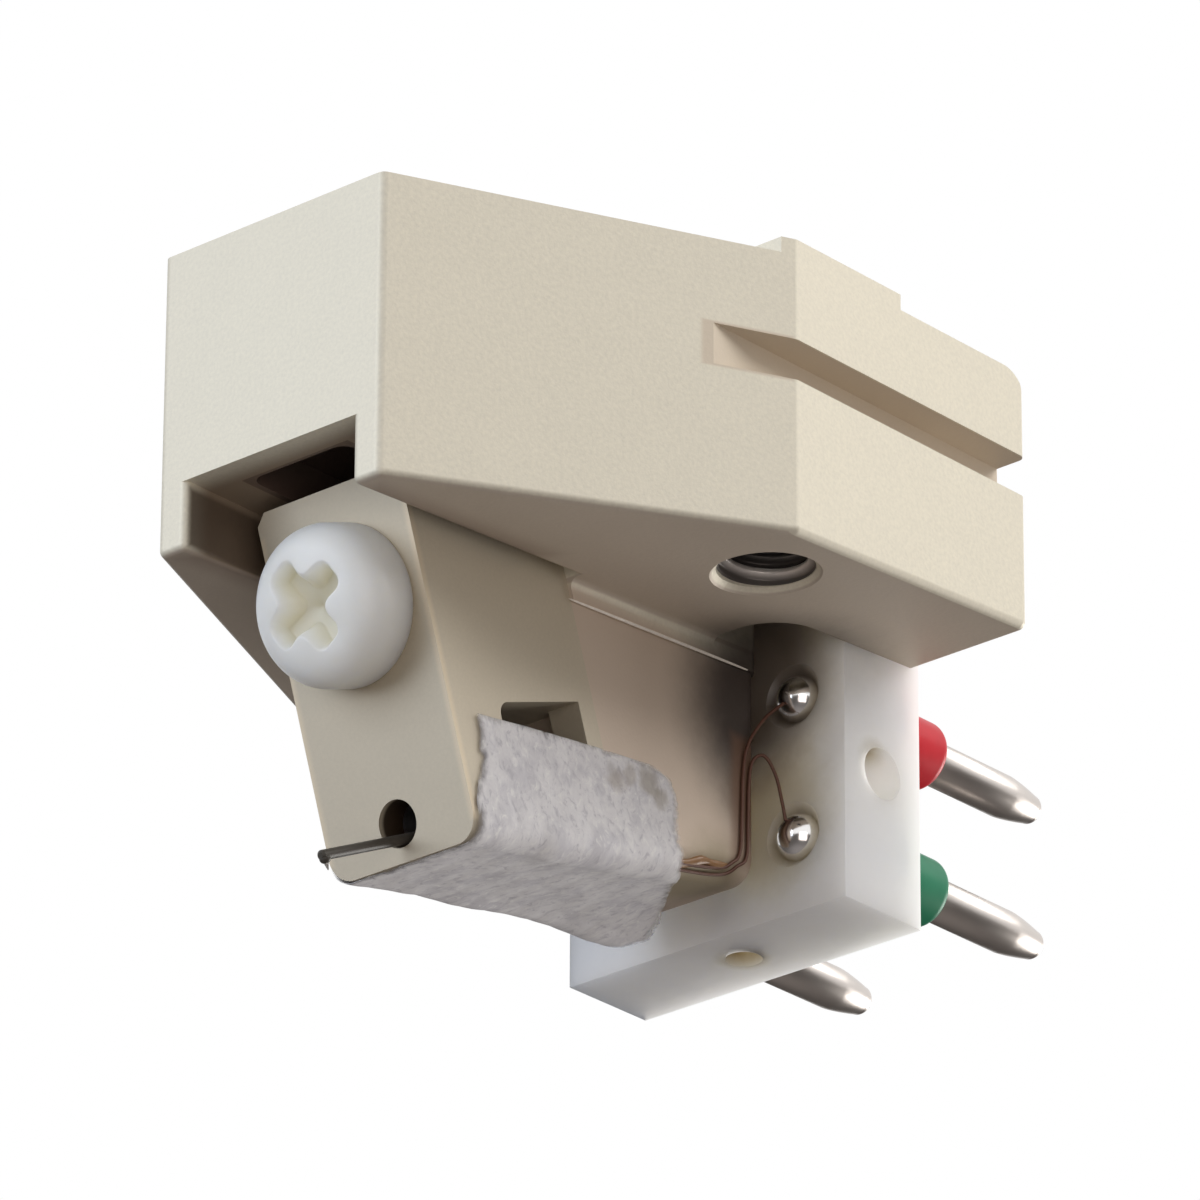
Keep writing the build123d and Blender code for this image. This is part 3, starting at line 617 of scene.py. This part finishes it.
def grained_finish(
    name, colour, roughness, metallic=0.0, grains=9000.0, mottle=0.08, relief=0.3, depth=4e-6
):
    """A material with colour, roughness and relief from the surface grain, and its working parts."""
    material = bpy.data.materials.new(name)
    material.use_nodes = True
    tree = material.node_tree
    shader = tree.nodes["Principled BSDF"]
    shader.inputs["Metallic"].default_value = metallic
    place = add_node(tree, "ShaderNodeTexCoord")
    grain = add_node(
        tree,
        "ShaderNodeGroup",
        {"node_tree": SURFACE_GRAIN},
        {"Grains per metre": grains, "Mottle": mottle},
        {"Place": place.outputs["Object"]},
    )
    toned = add_node(
        tree,
        "ShaderNodeMix",
        {"data_type": "RGBA", "blend_type": "MULTIPLY"},
        {"Factor": 1.0, 6: (*colour, 1.0)},
        {7: grain.outputs["Tone"]},
    )
    rough = add_node(
        tree,
        "ShaderNodeMath",
        {"operation": "MULTIPLY"},
        {1: roughness},
        {0: grain.outputs["Tone"]},
    )
    bump = add_node(
        tree,
        "ShaderNodeBump",
        values={"Strength": relief, "Distance": depth},
        links={"Height": grain.outputs["Height"]},
    )
    tree.links.new(toned.outputs[2], shader.inputs["Base Color"])
    tree.links.new(rough.outputs[0], shader.inputs["Roughness"])
    tree.links.new(bump.outputs["Normal"], shader.inputs["Normal"])
    parts = {"tree": tree, "shader": shader, "place": place, "grain": grain, "colour": toned.outputs[2]}
    return material, parts


def tint(parts, colour, mask, strength):
    """Mixes a colour over the material's colour so far where the mask says."""
    tree = parts["tree"]
    share = add_node(tree, "ShaderNodeMath", {"operation": "MULTIPLY"}, {1: strength}, {0: mask})
    mixed = add_node(
        tree,
        "ShaderNodeMix",
        {"data_type": "RGBA"},
        {7: (*colour, 1.0)},
        {0: share.outputs[0], 6: parts["colour"]},
    )
    tree.links.new(mixed.outputs[2], parts["shader"].inputs["Base Color"])
    parts["colour"] = mixed.outputs[2]


def stain_and_shade_patch(parts, colour, centre, radius, strength, ragged=0.6):
    """A ragged round patch of colour, for real stains and for painted shade; centre and radius in
    millimetres.
    """
    patch = add_node(
        parts["tree"],
        "ShaderNodeGroup",
        {"node_tree": RAGGED_PATCH},
        {"Centre": [value * MM for value in centre], "Radius": radius * MM, "Ragged": ragged},
        {"Place": parts["place"].outputs["Object"]},
    )
    tint(parts, colour, patch.outputs["Mask"], strength)


def boxed_tint(parts, colour, low, high, border, strength, pitch=0.0):
    """A tint inside a box between two corners, fading out over a border; all in millimetres.

    The box is pitched about the X axis by an angle in degrees.
    """
    centre = [(a + b) / 2 * MM for a, b in zip(low, high)]
    half = [(b - a) / 2 * MM for a, b in zip(low, high)]
    place = parts["place"].outputs["Object"]
    if pitch:
        turned = add_node(
            parts["tree"],
            "ShaderNodeVectorRotate",
            {"rotation_type": "X_AXIS"},
            {"Angle": np.radians(-pitch)},
            {"Vector": place},
        )
        place = turned.outputs["Vector"]
    box = add_node(
        parts["tree"],
        "ShaderNodeGroup",
        {"node_tree": BOXED_SHADE},
        {"Centre": centre, "Half size": half, "Border": border * MM},
        {"Place": place},
    )
    tint(parts, colour, box.outputs["Mask"], strength)


def blasted_aluminium():
    """Bead-blasted champagne aluminium, with painted shade in its slot, pocket and grooves, on its
    underside and over the pedestal, and darker brown by the pedestal's rear corner.
    """
    material, parts = grained_finish(
        "blasted_aluminium", (0.75, 0.70, 0.578), 0.55, 0.25, 9000.0, 0.26, 0.5, 9e-6
    )
    # Painted shade: the slot's inside is darkened where little light reaches.
    boxed_tint(parts, (0.21, 0.14, 0.088), (-2.9, -11.0, -9.6), (2.9, -5.5, -7.0), 1.0, 0.85)
    # Painted shade on the slot's side walls.
    for near, far in ((2.3, 3.0), (-3.0, -2.3)):
        boxed_tint(parts, (0.09, 0.06, 0.04), (near, -11.72, -8.75), (far, -5.5, -7.35), 0.22, 0.8)
    # Painted shade in the pocket above the carrier.
    boxed_tint(parts, (0.11, 0.07, 0.055), (-1.8, -11.0, -7.06), (1.8, -5.0, -5.7), 0.06, 0.95)
    # Painted shade: the whole underside is darkened because it faces away from the lamps.
    boxed_tint(parts, (0.46, 0.375, 0.315), (-8.5, -13.0, -8.34), (8.5, 9.0, -8.27), 0.06, 0.62, 3.3)
    # Painted shade in the side grooves.
    for near, far in ((7.6, 8.62), (-8.62, -7.6)):
        boxed_tint(parts, (0.60, 0.50, 0.39), (near, -9.0, -4.06), (far, 7.86, -2.86), 0.08, 0.75)
    # Painted shade over the pedestal, which lies under the body's overhang.
    boxed_tint(parts, (0.58, 0.47, 0.38), (-2.7, -3.4, -16.0), (2.7, 4.3, -8.9), 0.5, 0.9)
    # Painted shadow, darkest at the pedestal's upper rear where the body and the block shade it.
    stain_and_shade_patch(parts, (0.03, 0.02, 0.017), (2.4, 4.6, -9.8), 3.6, 0.95, 0.12)
    # Darker brown by the pedestal's rear next to the block, and an olive tint low on the pedestal.
    stain_and_shade_patch(parts, (0.13, 0.08, 0.045), (2.4, 4.3, -12.2), 1.4, 0.75, 0.2)
    stain_and_shade_patch(parts, (0.30, 0.25, 0.15), (1.6, 2.6, -15.0), 1.6, 0.8, 0.3)
    # A red-brown streak up the pedestal's rear corner, behind the leads.
    boxed_tint(parts, (0.19, 0.10, 0.06), (2.2, 3.35, -14.0), (2.7, 4.0, -10.8), 0.4, 0.6)
    return material


def tapped_aluminium():
    """The body's aluminium inside its tapped holes, with painted shade in the thread's roots and further
    up the holes.
    """
    material, parts = grained_finish(
        "tapped_aluminium", (0.85, 0.80, 0.76), 0.4, 0.5, 7500.0, 0.2, 0.3, 8e-6
    )
    root = add_node(parts["tree"], "ShaderNodeAttribute", {"attribute_name": "thread_root"})
    # Painted shade in the thread's roots.
    tint(parts, (0.05, 0.04, 0.035), root.outputs["Fac"], 0.85)
    # Painted shade further up the hole, where little light reaches.
    boxed_tint(parts, (0.025, 0.02, 0.018), (-9.0, -3.0, -7.25), (9.0, 3.0, 0.5), 0.45, 0.95)
    return material


def beige_anodised():
    """Satin beige anodising with a finer grain than the body's, a painted highlight on the plate's side
    edges and painted shade in the rod's bore.
    """
    material, parts = grained_finish(
        "beige_anodised", (0.535, 0.472, 0.365), 0.46, 0.2, 11000.0, 0.12, 0.4, 5e-6
    )
    # An amber tint round the rim of the bore where the rod leaves the carrier.
    stain_and_shade_patch(parts, (0.30, 0.13, 0.035), (0.0, -6.12, -15.52), 0.85, 0.9, 0.1)
    # Painted highlight along the plate's side edges.
    for near, far in ((2.44, 2.6), (-2.6, -2.44)):
        boxed_tint(parts, (0.76, 0.63, 0.45), (near, -11.9, -13.1), (far, -11.68, -4.6), 0.2, 0.5, 19.0)
    # Painted shade inside the rod's bore.
    boxed_tint(parts, (0.035, 0.02, 0.01), (-0.75, -11.5, -13.4), (0.75, -10.4, -11.9), 0.16, 0.95, 19.0)
    return material


def white_nylon():
    """Translucent white nylon: light goes a little way in, with a faint moulded unevenness."""
    material, parts = grained_finish(
        "white_nylon", (0.99, 0.962, 0.87), 0.4, 0.0, 2500.0, 0.05, 0.25, 8e-6
    )
    # Painted shade in the cross recess, deepest in the middle.
    recess = add_node(parts["tree"], "ShaderNodeAttribute", {"attribute_name": "recess_depth"})
    tint(parts, (0.68, 0.63, 0.46), recess.outputs["Fac"], 0.85)
    shader = parts["shader"]
    shader.inputs["Subsurface Weight"].default_value = 0.9
    shader.inputs["Subsurface Radius"].default_value = (1.0, 0.95, 0.85)
    shader.inputs["Subsurface Scale"].default_value = 0.0018
    return material


def dark_rod():
    """Dark rod with a dull sheen."""
    material, parts = grained_finish(
        "dark_rod", (0.07, 0.062, 0.052), 0.42, 0.0, 12000.0, 0.3, 0.3, 3e-6
    )
    parts["shader"].inputs["Specular IOR Level"].default_value = 0.2
    return material


def milky_plastic():
    """Milky block plastic: amber flux with painted shade in its holes, painted shadow across its front and
    painted shade round the pin seats.
    """
    material, parts = grained_finish(
        "milky_plastic", (0.99, 0.974, 0.905), 0.38, 0.0, 1800.0, 0.06, 0.2, 6e-6
    )
    shader = parts["shader"]
    shader.inputs["Subsurface Weight"].default_value = 1.0
    shader.inputs["Subsurface Radius"].default_value = (1.0, 0.96, 0.86)
    shader.inputs["Subsurface Scale"].default_value = 0.0055
    # Amber flux round the side and bottom holes, with painted shade inside them.
    stain_and_shade_patch(parts, (0.26, 0.18, 0.08), (4.2, 6.2, -11.05), 0.8, 1.0, 0.2)
    stain_and_shade_patch(parts, (0.28, 0.20, 0.09), (0.0, 6.5, -14.8), 0.8, 1.0, 0.2)
    # Amber-brown on the front beside the pedestal, partly flux and partly painted shade.
    stain_and_shade_patch(parts, (0.42, 0.34, 0.20), (2.3, 5.0, -12.4), 2.2, 0.5, 0.3)
    # Painted shadow of the body and pedestal over the top of the block's front.
    stain_and_shade_patch(parts, (0.12, 0.08, 0.048), (1.3, 4.9, -8.2), 3.3, 0.9, 0.1)
    # Painted shade in the seats round the solder domes.
    for depth in PIN_DEPTHS.values():
        for x in (PIN_SIDE, -PIN_SIDE):
            stain_and_shade_patch(parts, (0.09, 0.07, 0.05), (x, 5.1, depth), 0.8, 0.8, 0.15)
    return material


def fibrous_tissue():
    """Grey-white tissue: noises on the sheet's own place make clouds, matted fibres, pits and pale hairs.

    Towards the sheet's edges the clouds and fibres thin out, so what lies under it shows through.
    """
    material, parts = grained_finish("tissue", (0.83, 0.82, 0.84), 0.95, 0.0, 9000.0, 0.12, 0.0, 1e-6)
    tree = parts["tree"]
    parts["shader"].inputs["Specular IOR Level"].default_value = 0.2
    place = add_node(tree, "ShaderNodeUVMap", {"uv_map": "surface_place"})
    lay = add_node(
        tree,
        "ShaderNodeMapping",
        values={"Rotation": (0.0, 0.0, 0.35), "Scale": (1.0, 1.5, 1.0)},
        links={"Vector": place.outputs["UV"]},
    )
    clouds = add_node(
        tree,
        "ShaderNodeTexNoise",
        values={"Scale": 0.75, "Detail": 3.0, "Roughness": 0.6, "Distortion": 0.4},
        links={"Vector": place.outputs["UV"]},
    )
    fibre = add_node(
        tree,
        "ShaderNodeTexNoise",
        values={"Scale": 2.9, "Detail": 7.0, "Roughness": 0.7, "Distortion": 0.7},
        links={"Vector": lay.outputs["Vector"]},
    )
    thin = add_node(
        tree,
        "ShaderNodeMapRange",
        {"interpolation_type": "SMOOTHSTEP"},
        {"From Min": 0.54, "From Max": 0.36, "To Max": 0.6},
        {"Value": clouds.outputs["Fac"]},
    )
    pits = add_node(
        tree,
        "ShaderNodeMapRange",
        {"interpolation_type": "SMOOTHSTEP"},
        {"From Min": 0.49, "From Max": 0.33, "To Max": 0.85},
        {"Value": fibre.outputs["Fac"]},
    )
    hairs = add_node(
        tree,
        "ShaderNodeMapRange",
        {"interpolation_type": "SMOOTHSTEP"},
        {"From Min": 0.52, "From Max": 0.68},
        {"Value": fibre.outputs["Fac"]},
    )
    tint(parts, (0.63, 0.62, 0.665), thin.outputs["Result"], 1.0)
    tint(parts, (0.58, 0.57, 0.61), pits.outputs["Result"], 1.0)
    tint(parts, (0.93, 0.925, 0.92), hairs.outputs["Result"], 1.0)
    stain_and_shade_patch(parts, (0.42, 0.37, 0.32), (2.55, -1.5, -13.45), 0.4, 0.55, 1.7)
    stain_and_shade_patch(parts, (0.42, 0.37, 0.32), (2.55, -0.95, -13.2), 0.3, 0.45, 1.7)
    stain_and_shade_patch(parts, (0.40, 0.36, 0.30), (2.55, -0.2, -13.15), 0.45, 0.6, 1.7)
    stain_and_shade_patch(parts, (0.40, 0.36, 0.30), (2.55, 0.2, -13.45), 0.35, 0.55, 1.7)
    edge = add_node(tree, "ShaderNodeAttribute", {"attribute_name": "edge_distance"})
    loose = add_node(
        tree,
        "ShaderNodeMath",
        {"operation": "MULTIPLY_ADD"},
        {1: 0.9},
        {0: clouds.outputs["Fac"], 2: edge.outputs["Fac"]},
    )
    frayed = add_node(
        tree,
        "ShaderNodeMath",
        {"operation": "MULTIPLY_ADD"},
        {1: 0.3},
        {0: fibre.outputs["Fac"], 2: loose.outputs[0]},
    )
    cover = add_node(
        tree,
        "ShaderNodeMapRange",
        {"interpolation_type": "SMOOTHSTEP"},
        {"From Min": 0.5, "From Max": 0.95},
        {"Value": frayed.outputs[0]},
    )
    bump = add_node(
        tree,
        "ShaderNodeBump",
        values={"Strength": 0.3, "Distance": 2e-5},
        links={"Height": fibre.outputs["Fac"]},
    )
    tree.links.new(cover.outputs["Result"], parts["shader"].inputs["Alpha"])
    tree.links.new(bump.outputs["Normal"], parts["shader"].inputs["Normal"])
    return material


def amber_glue():
    """Dried amber glue: dark, clear-coated and uneven."""
    material, parts = grained_finish("amber_glue", (0.30, 0.15, 0.055), 0.5, 0.0, 2500.0, 0.6, 0.3, 2e-5)
    parts["shader"].inputs["Coat Weight"].default_value = 0.2
    return material


def glossy_plastic(name, colour):
    """Gloss plastic of a collar, with faint moulding marks."""
    material, parts = grained_finish(name, colour, 0.38, 0.0, 2200.0, 0.12, 0.2, 1e-5)
    parts["shader"].inputs["Specular IOR Level"].default_value = 0.25
    return material


def bright_nickel():
    """Nickel of the pins: satin where tags slide on, bright on the solder domes."""
    material, parts = grained_finish("plated_pin", (0.58, 0.535, 0.50), 0.33, 1.0, 1500.0, 0.12, 0.0, 1e-6)
    tree = parts["tree"]
    dome = add_node(
        tree,
        "ShaderNodeGroup",
        {"node_tree": BOXED_SHADE},
        {"Centre": (0.0, 0.005, -0.011), "Half size": (0.006, 0.0012, 0.006), "Border": 0.0003},
        {"Place": parts["place"].outputs["Object"]},
    )
    rough = add_node(
        tree,
        "ShaderNodeMapRange",
        values={"To Min": 0.33, "To Max": 0.16},
        links={"Value": dome.outputs["Mask"]},
    )
    tree.links.new(rough.outputs["Result"], parts["shader"].inputs["Roughness"])
    tint(parts, (0.88, 0.865, 0.855), dome.outputs["Mask"], 1.0)
    return material


def clear_diamond():
    """Polished diamond."""
    material, parts = grained_finish("diamond", (0.55, 0.52, 0.48), 0.1, 0.0, 40000.0, 0.05, 0.05, 5e-7)
    parts["shader"].inputs["IOR"].default_value = 2.417
    parts["shader"].inputs["Transmission Weight"].default_value = 0.3
    return material


def plain_metal(name, colour, roughness, mottle):
    """Bare metal of an inner piece, with machining grain."""
    return grained_finish(name, colour, roughness, 1.0, 7000.0, mottle, 0.3, 4e-6)[0]


def damper_rubber():
    """Soft black rubber."""
    return grained_finish("damper_rubber", (0.035, 0.034, 0.033), 0.7, 0.0, 8000.0, 0.3, 0.5, 1e-5)[0]


finishes = {
    "blasted_aluminium": blasted_aluminium(),
    "beige_anodised": beige_anodised(),
    "white_nylon": white_nylon(),
    "plated_magnet": plain_metal("plated_magnet", (0.55, 0.55, 0.56), 0.35, 0.2),
    "holder_brass": plain_metal("holder_brass", (0.72, 0.56, 0.28), 0.35, 0.2),
    "spring_wire": plain_metal("spring_wire", (0.60, 0.60, 0.62), 0.3, 0.2),
    "damper_rubber": damper_rubber(),
    "soft_iron": plain_metal("soft_iron", (0.32, 0.31, 0.30), 0.5, 0.3),
    "dark_rod": dark_rod(),
    "diamond": clear_diamond(),
    "tissue": fibrous_tissue(),
    "milky_plastic": milky_plastic(),
    "plated_pin": bright_nickel(),
    "red_plastic": glossy_plastic("red_plastic", (0.66, 0.018, 0.032)),
    "green_plastic": glossy_plastic("green_plastic", (0.025, 0.24, 0.125)),
    "white_plastic": glossy_plastic("white_plastic", (0.78, 0.78, 0.75)),
    "blue_plastic": glossy_plastic("blue_plastic", (0.03, 0.08, 0.36)),
    # Enamelled copper, darkened further as painted shade for the corner the leads run in.
    "copper": grained_finish("copper", (0.115, 0.048, 0.029), 0.5, 0.15, 9000.0, 0.4, 0.3, 4e-6)[0],
}
glue = amber_glue()

node_slots = {entry["node"]: entry["material_slot"] for entry in frame["record"]["subparts"]}
for entry in frame["record"]["subparts"]:
    node_mesh = frame["nodes"][entry["node"]].data
    node_mesh.materials.clear()
    node_mesh.materials.append(finishes[entry["material_slot"]])

screw_points, screw_sunk = nylon_screw_surface()
screw = make_piece(
    "nylon_screw",
    screw_points,
    finishes["white_nylon"],
    "housing",
    columns_meet=True,
    values={"recess_depth": screw_sunk},
)
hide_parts("carrier_screw")

for side, hand in ((1, "right"), (-1, "left")):
    thread_points, thread_roots = hole_thread_surface(side)
    make_piece(
        f"{hand}_hole_thread",
        thread_points,
        tapped_aluminium(),
        "housing",
        columns_meet=True,
        values={"thread_root": thread_roots},
    )
    for row, depth in PIN_DEPTHS.items():
        pin = make_piece(
            f"{hand}_{row}_turned_pin",
            signal_pin_surface(side * PIN_SIDE, depth),
            finishes["plated_pin"],
            "housing",
            columns_meet=True,
        )
        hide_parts(f"{hand}_{row}_pin")
        colour = node_slots[f"{hand}_{row}_collar"]
        ring = make_piece(
            f"{hand}_{row}_ring",
            collar_surface(side * PIN_SIDE, depth),
            finishes[colour],
            "housing",
            columns_meet=True,
        )
        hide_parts(f"{hand}_{row}_collar")
        wire = make_piece(
            f"{hand}_{row}_wire",
            lead_surface(LEAD_STOPS[row], side),
            finishes["copper"],
            "housing",
            columns_meet=True,
        )
        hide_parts(f"{hand}_{row}_lead")

# The ledge edge is coloured light as a painted highlight.
ledge_highlight_finish = grained_finish("ledge_highlight_finish", (0.93, 0.88, 0.80), 0.4, 0.3, 5000.0, 0.3, 0.3, 6e-6)[0]
for side, hand in ((1, "right"), (-1, "left")):
    make_piece(
        f"{hand}_ledge_edge",
        ledge_edge_surface(side),
        ledge_highlight_finish,
        "housing",
        columns_meet=True,
    )

make_piece(
    "tip_glue", tip_glue_surface(), finishes["dark_rod"], "moving_system", columns_meet=True
)

tissue_points, tissue_place, tissue_edge = tissue_surface()
tissue = make_piece(
    "tissue_strip",
    tissue_points,
    finishes["tissue"],
    "housing",
    surface_place=tissue_place,
    values={"edge_distance": tissue_edge},
)
thickness = tissue.modifiers.new("paper", "SOLIDIFY")
thickness.thickness = 0.02 * MM
thickness.offset = 1.0
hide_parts("dust_wrap")

make_piece("glue_bead", glue_bead_surface(), glue, "housing", columns_meet=True)


def add_camera():
    """A long lens below and to the right of the front, where the photograph was taken from."""
    azimuth = np.radians(41.454)
    elevation = np.radians(-24.775)
    roll = np.radians(0.298)
    distance = 252.07
    shift_right = 0.483
    shift_down = 6.47
    back = np.array(
        [np.sin(azimuth) * np.cos(elevation), -np.cos(azimuth) * np.cos(elevation), np.sin(elevation)]
    )
    right = np.array([np.cos(azimuth), np.sin(azimuth), 0.0])
    up = np.cross(right, -back)
    eye = right * shift_right - up * shift_down + back * distance
    turned_right = np.cos(roll) * right + np.sin(roll) * up
    turned_up = np.cos(roll) * up - np.sin(roll) * right
    data = bpy.data.cameras.new("camera")
    data.sensor_width = 36.0
    data.lens = 285.0
    data.clip_start = 0.01
    data.clip_end = 100.0
    camera = bpy.data.objects.new("camera", data)
    bpy.context.scene.collection.objects.link(camera)
    columns = np.column_stack([turned_right, turned_up, back, eye * MM])
    camera.matrix_world = Matrix([*columns.tolist(), [0.0, 0.0, 0.0, 1.0]])
    bpy.context.scene.camera = camera


def add_lamp(name, place, width, height, watts, colour):
    """A soft square lamp that faces the part."""
    data = bpy.data.lights.new(name, "AREA")
    data.shape = "RECTANGLE"
    data.size = width
    data.size_y = height
    data.energy = watts
    data.color = colour
    lamp = bpy.data.objects.new(name, data)
    bpy.context.scene.collection.objects.link(lamp)
    lamp.location = place
    aim = Vector((0.0, -0.002, -0.007)) - Vector(place)
    lamp.rotation_mode = "QUATERNION"
    lamp.rotation_quaternion = aim.to_track_quat("-Z", "Y")


def add_floor():
    """A wide pale floor well below the part, which is shown hanging; camera rays see it as white."""
    wide = 20.0
    level = -0.7
    corners = np.array(
        [[-wide, -wide, level], [wide, -wide, level], [wide, wide, level], [-wide, wide, level]]
    )
    mesh = bpy.data.meshes.new("floor")
    mesh.from_pydata(corners, [], [(0, 1, 2, 3)])
    paper, parts = grained_finish("floor_paper", (0.46, 0.415, 0.39), 0.8, 0.0, 900.0, 0.03)
    tree = parts["tree"]
    rays = add_node(tree, "ShaderNodeLightPath")
    white = add_node(tree, "ShaderNodeEmission", values={"Color": (1.0, 1.0, 1.0, 1.0), "Strength": 1.0})
    shown = add_node(
        tree,
        "ShaderNodeMixShader",
        links={0: rays.outputs["Is Camera Ray"], 1: parts["shader"].outputs[0], 2: white.outputs[0]},
    )
    tree.links.new(shown.outputs[0], tree.nodes["Material Output"].inputs["Surface"])
    paper.cycles.emission_sampling = "NONE"
    mesh.materials.append(paper)
    floor = bpy.data.objects.new("floor", mesh)
    bpy.context.scene.collection.objects.link(floor)


def light_world():
    """A dim even sky for light, which camera, glossy and transmission rays see as white."""
    world = bpy.data.worlds.new("studio")
    bpy.context.scene.world = world
    world.use_nodes = True
    tree = world.node_tree
    tree.nodes.clear()
    rays = add_node(tree, "ShaderNodeLightPath")
    seen = add_node(
        tree,
        "ShaderNodeMath",
        {"operation": "MAXIMUM"},
        links={0: rays.outputs["Is Camera Ray"], 1: rays.outputs["Is Glossy Ray"]},
    )
    shown = add_node(
        tree,
        "ShaderNodeMath",
        {"operation": "MAXIMUM"},
        links={0: seen.outputs[0], 1: rays.outputs["Is Transmission Ray"]},
    )
    sky = add_node(tree, "ShaderNodeBackground", values={"Color": (1.0, 1.0, 1.0, 1.0), "Strength": 0.1})
    white = add_node(tree, "ShaderNodeBackground", values={"Color": (1.0, 1.0, 1.0, 1.0), "Strength": 1.0})
    both = add_node(
        tree,
        "ShaderNodeMixShader",
        links={0: shown.outputs[0], 1: sky.outputs[0], 2: white.outputs[0]},
    )
    add_node(tree, "ShaderNodeOutputWorld", links={"Surface": both.outputs[0]})


add_camera()
add_floor()
light_world()
add_lamp("front_lamp", (-0.2, -0.57, 0.12), 0.5, 0.5, 2.5, (0.80, 0.88, 1.0))
add_lamp("side_lamp", (0.44, 0.26, 0.4), 0.4, 0.4, 2.1, (1.0, 0.985, 0.965))
add_lamp("rear_lamp", (0.1, 0.58, -0.09), 0.3, 0.3, 2.4, (1.0, 0.98, 0.95))
add_lamp("fill_lamp", (0.46, -0.34, -0.17), 0.4, 0.4, 0.86, (1.0, 0.925, 0.88))

bpy.context.scene.view_settings.view_transform = "Standard"
